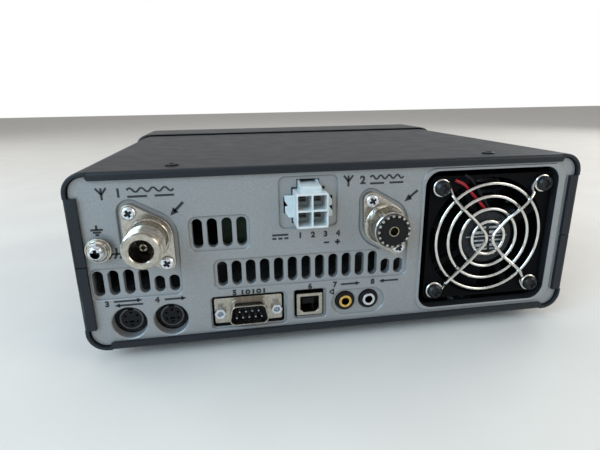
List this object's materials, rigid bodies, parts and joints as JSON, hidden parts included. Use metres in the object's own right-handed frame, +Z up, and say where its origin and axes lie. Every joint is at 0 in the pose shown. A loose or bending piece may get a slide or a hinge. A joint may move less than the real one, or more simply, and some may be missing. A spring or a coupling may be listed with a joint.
{
  "type": "amateur radio transceiver",
  "caption": "Desk-top radio transceiver: sheet case, cast rear panel with vents, antenna sockets, ports and guarded fan, front moulding with display, tuning dial, knobs and keys.",
  "frame": {"origin": "middle of the overall box in X and Y, on the plane the feet stand on", "axes": "X to the right as seen from the controls, Y from the controls to the sockets, Z up"},
  "size_m": [0.231, 0.257, 0.0847],
  "materials": {
    "cover_paint": "fine textured satin charcoal paint",
    "panel_paint": "satin silver-grey metallic paint on a casting",
    "casting": "bare die casting",
    "nickel": "warm bright nickel plate",
    "zinc": "bright zinc plate",
    "black_screw": "black oxide",
    "wire_chrome": "bright plated wire",
    "fan_plastic": "black moulded plastic",
    "lead": "flexible sheath",
    "white_nylon": "white moulded nylon",
    "black_plastic": "black moulded plastic",
    "pale_insulator": "pale insulator",
    "contact": "plated contact metal",
    "dull_metal": "dull dark plating",
    "gold": "gold plate",
    "board": "green solder mask",
    "moulding": "fine textured dark plastic",
    "lens": "clear tinted window",
    "display": "dark display glass",
    "rubber": "matt rubber",
    "knob": "satin dark plastic",
    "key": "satin grey plastic",
    "steel": "turned steel"
  },
  "bodies": {
    "case": {"rear_panel": "panel_paint", "chassis": "casting", "top_cover": "cover_paint", "bottom_cover": "cover_paint", "front_moulding": "moulding", "display_lens": "lens", "display_module": "display", "front_board": "board", "main_board": "board", "amplifier_board": "board", "heat_sink": "casting", "fan_frame": "fan_plastic", "fan_guard": "wire_chrome", "fan_screws": "black_screw", "fan_leads": "lead", "threaded_socket": "nickel", "threaded_insulator": "pale_insulator", "notched_socket": "nickel", "notched_insulator": "black_plastic", "antenna_contacts": "contact", "socket_screws": "zinc", "ground_collar": "nickel", "ground_screw": "zinc", "power_header": "white_nylon", "power_contacts": "dull_metal", "serial_shell": "nickel", "serial_insert": "black_plastic", "serial_pins": "zinc", "serial_standoffs": "zinc", "data_shell": "nickel", "data_tongue": "black_plastic", "round_bodies": "black_plastic", "round_shields": "steel", "jack_collars": "black_plastic", "gold_jack": "gold", "nickel_jack": "zinc", "cover_screws": "black_screw", "feet": "rubber", "foot_screws": "zinc", "speaker": "black_plastic", "key_switches": "black_plastic", "rotary_bodies": "steel", "phones_jack": "steel", "mic_socket": "black_plastic"},
    "fan_wheel": {"fan_rotor": "fan_plastic"},
    "tuning_dial": {"dial_knob": "knob", "dial_grip": "rubber", "dial_shaft": "steel"},
    "volume": {"volume_knob": "knob"},
    "gain": {"gain_ring": "knob"},
    "squelch": {"squelch_knob": "knob"},
    "selector": {"selector_knob": "knob"},
    "power": {"power_button": "key"},
    "screen_key_1_cap": {"screen_key_1": "key"},
    "screen_key_2_cap": {"screen_key_2": "key"},
    "screen_key_3_cap": {"screen_key_3": "key"},
    "screen_key_4_cap": {"screen_key_4": "key"},
    "band_key_1_cap": {"band_key_1": "key"},
    "band_key_2_cap": {"band_key_2": "key"},
    "band_key_3_cap": {"band_key_3": "key"}
  },
  "joints": [
    {"name": "fan_spin", "type": "hinge", "parent": "case", "child": "fan_wheel", "pos_m": [-0.0706, 0.098, 0.04495], "axis": [0, 1, 0], "continuous": true},
    {"name": "dial_turn", "type": "hinge", "parent": "case", "child": "tuning_dial", "pos_m": [0.043, -0.112, 0.03675], "axis": [0, 1, 0], "continuous": true},
    {"name": "volume_turn", "type": "hinge", "parent": "case", "child": "volume", "pos_m": [0.094, -0.114, 0.06675], "axis": [0, 1, 0], "range_deg": [-150, 150]},
    {"name": "gain_turn", "type": "hinge", "parent": "case", "child": "gain", "pos_m": [0.094, -0.106, 0.06675], "axis": [0, 1, 0], "range_deg": [-150, 150]},
    {"name": "squelch_turn", "type": "hinge", "parent": "case", "child": "squelch", "pos_m": [0.094, -0.106, 0.04175], "axis": [0, 1, 0], "range_deg": [-150, 150]},
    {"name": "selector_turn", "type": "hinge", "parent": "case", "child": "selector", "pos_m": [0.094, -0.106, 0.01925], "axis": [0, 1, 0], "continuous": true},
    {"name": "power_press", "type": "slide", "parent": "case", "child": "power", "axis": [0, 1, 0], "range_m": [0, 0.0005], "stiffness_N_per_m": 400},
    {"name": "screen_key_1_press", "type": "slide", "parent": "case", "child": "screen_key_1_cap", "axis": [0, 1, 0], "range_m": [0, 0.0005], "stiffness_N_per_m": 400},
    {"name": "screen_key_2_press", "type": "slide", "parent": "case", "child": "screen_key_2_cap", "axis": [0, 1, 0], "range_m": [0, 0.0005], "stiffness_N_per_m": 400},
    {"name": "screen_key_3_press", "type": "slide", "parent": "case", "child": "screen_key_3_cap", "axis": [0, 1, 0], "range_m": [0, 0.0005], "stiffness_N_per_m": 400},
    {"name": "screen_key_4_press", "type": "slide", "parent": "case", "child": "screen_key_4_cap", "axis": [0, 1, 0], "range_m": [0, 0.0005], "stiffness_N_per_m": 400},
    {"name": "band_key_1_press", "type": "slide", "parent": "case", "child": "band_key_1_cap", "axis": [0, 1, 0], "range_m": [0, 0.0005], "stiffness_N_per_m": 400},
    {"name": "band_key_2_press", "type": "slide", "parent": "case", "child": "band_key_2_cap", "axis": [0, 1, 0], "range_m": [0, 0.0005], "stiffness_N_per_m": 400},
    {"name": "band_key_3_press", "type": "slide", "parent": "case", "child": "band_key_3_cap", "axis": [0, 1, 0], "range_m": [0, 0.0005], "stiffness_N_per_m": 400}
  ]
}
